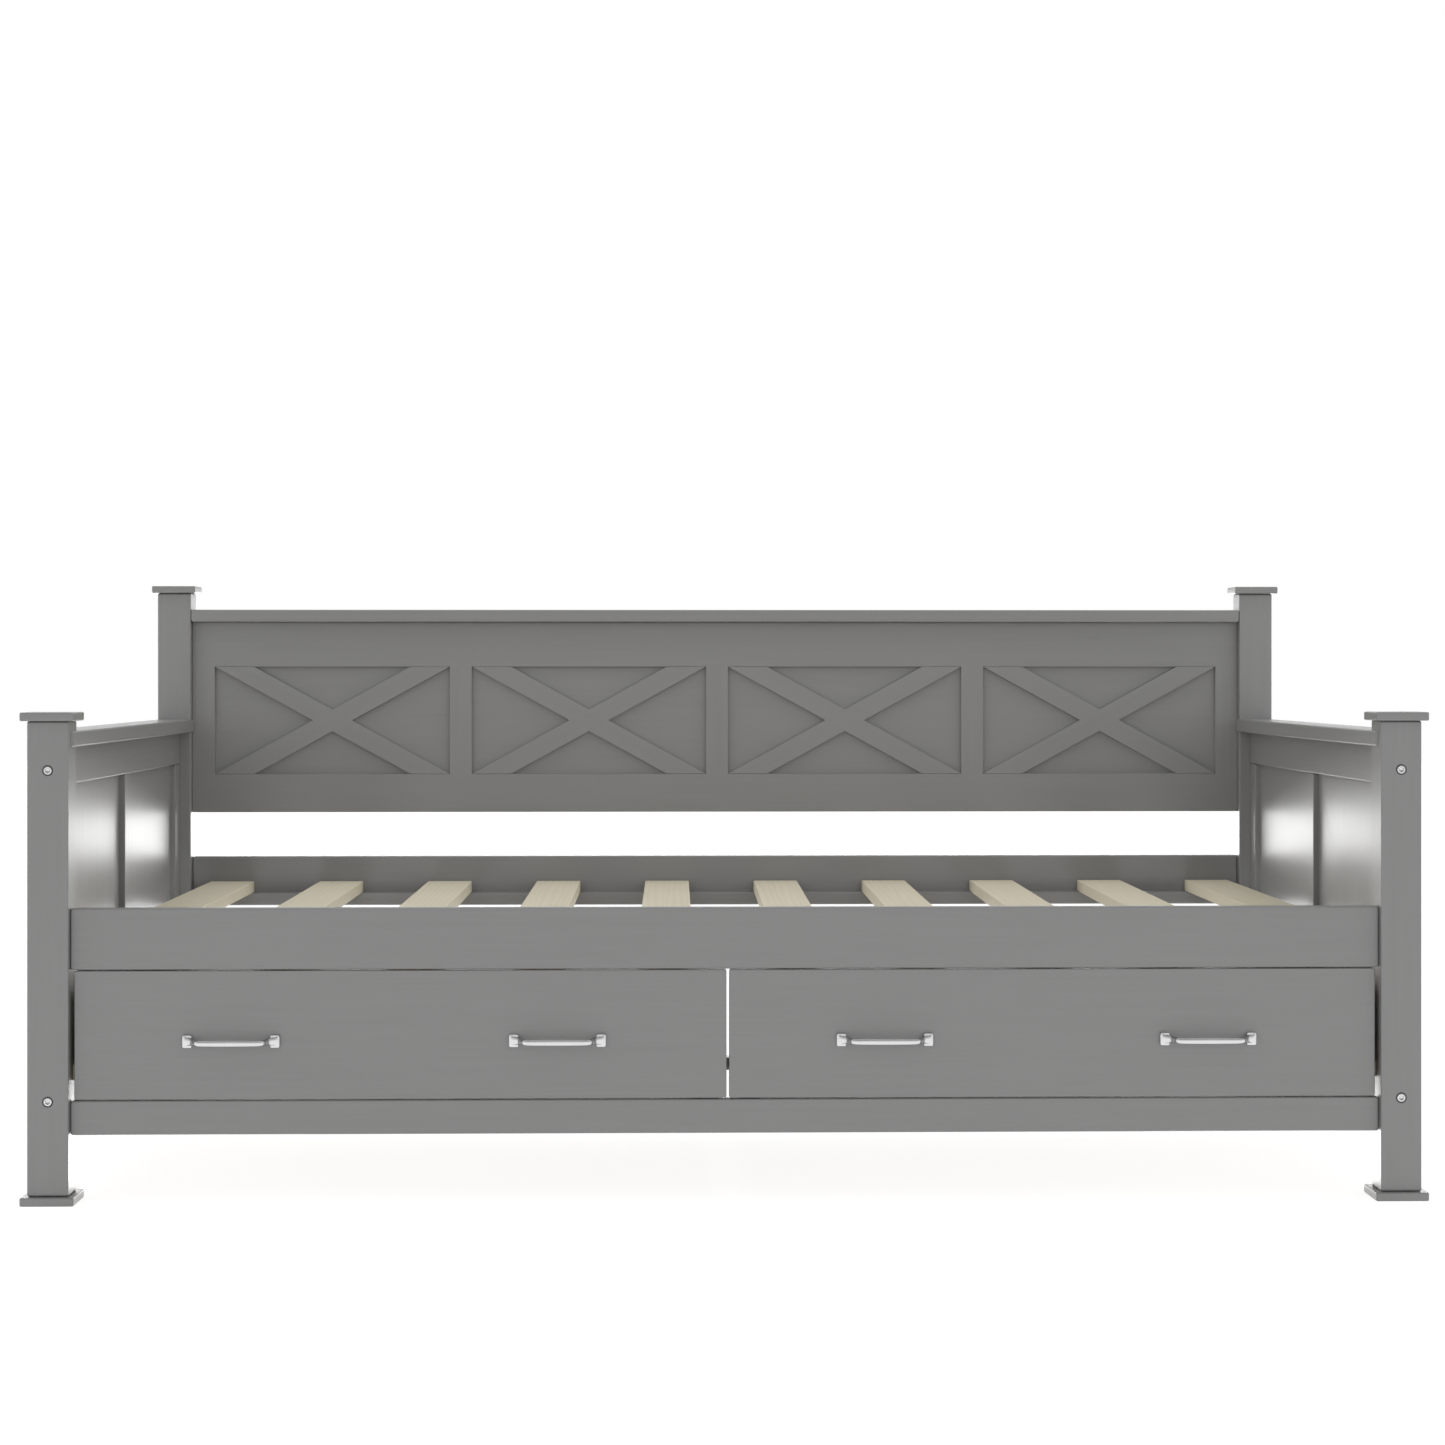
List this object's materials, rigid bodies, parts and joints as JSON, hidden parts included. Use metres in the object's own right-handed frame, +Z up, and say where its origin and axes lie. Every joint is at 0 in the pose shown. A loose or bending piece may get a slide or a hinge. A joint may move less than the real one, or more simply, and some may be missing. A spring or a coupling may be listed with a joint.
{
  "type": "storage daybed",
  "caption": "Painted wooden daybed with panelled arms, an X-braced back, pine slats and storage drawers under the front.",
  "frame": {"origin": "on the floor, under the middle of the bed's box from the pulls to the rear feet", "axes": "+X along the bed to the right as seen from its open front, +Y from the front to the back, +Z up"},
  "size_m": [2.0628, 1.1494, 0.9346],
  "materials": {
    "grey_paint": "mid grey satin paint on wood",
    "raw_pine": "planed unfinished pine",
    "runner_pine": "planed unfinished pine",
    "drawer_pine": "clear sealed pine",
    "drawer_plywood": "sealed plywood",
    "nickel": "satin nickel plate"
  },
  "bodies": {
    "frame": {"front_left_post": "grey_paint", "front_left_post_cap": "grey_paint", "front_left_post_foot": "grey_paint", "front_right_post": "grey_paint", "front_right_post_cap": "grey_paint", "front_right_post_foot": "grey_paint", "rear_left_post": "grey_paint", "rear_left_post_cap": "grey_paint", "rear_left_post_foot": "grey_paint", "rear_right_post": "grey_paint", "rear_right_post_cap": "grey_paint", "rear_right_post_foot": "grey_paint", "left_upper_rail": "grey_paint", "left_lower_rail": "grey_paint", "left_side_panel": "grey_paint", "left_arm_cap": "grey_paint", "right_upper_rail": "grey_paint", "right_lower_rail": "grey_paint", "right_side_panel": "grey_paint", "right_arm_cap": "grey_paint", "back_top_rail": "grey_paint", "back_board": "grey_paint", "back_face_frame": "grey_paint", "back_brace_1": "grey_paint", "back_brace_2": "grey_paint", "back_brace_3": "grey_paint", "back_brace_4": "grey_paint", "front_upper_rail": "grey_paint", "front_lower_rail": "grey_paint", "rear_slat_rail": "grey_paint", "front_cleat": "grey_paint", "rear_cleat": "grey_paint", "slat_01": "raw_pine", "slat_02": "raw_pine", "slat_03": "raw_pine", "slat_04": "raw_pine", "slat_05": "raw_pine", "slat_06": "raw_pine", "slat_07": "raw_pine", "slat_08": "raw_pine", "slat_09": "raw_pine", "slat_10": "raw_pine", "left_runner": "runner_pine", "right_runner": "runner_pine", "drawer_beam": "runner_pine", "bolt_left_upper": "nickel", "bolt_left_lower": "nickel", "bolt_right_upper": "nickel", "bolt_right_lower": "nickel"},
    "left_drawer": {"left_drawer_front": "grey_paint", "left_drawer_box": "drawer_pine", "left_drawer_bottom": "drawer_plywood", "left_drawer_pull_left": "nickel", "left_drawer_pull_right": "nickel"},
    "right_drawer": {"right_drawer_front": "grey_paint", "right_drawer_box": "drawer_pine", "right_drawer_bottom": "drawer_plywood", "right_drawer_pull_left": "nickel", "right_drawer_pull_right": "nickel"}
  },
  "joints": [
    {"name": "left_drawer_slide", "type": "slide", "parent": "frame", "child": "left_drawer", "axis": [0, -1, 0], "range_m": [0, 0.38]},
    {"name": "right_drawer_slide", "type": "slide", "parent": "frame", "child": "right_drawer", "axis": [0, -1, 0], "range_m": [0, 0.38]}
  ]
}
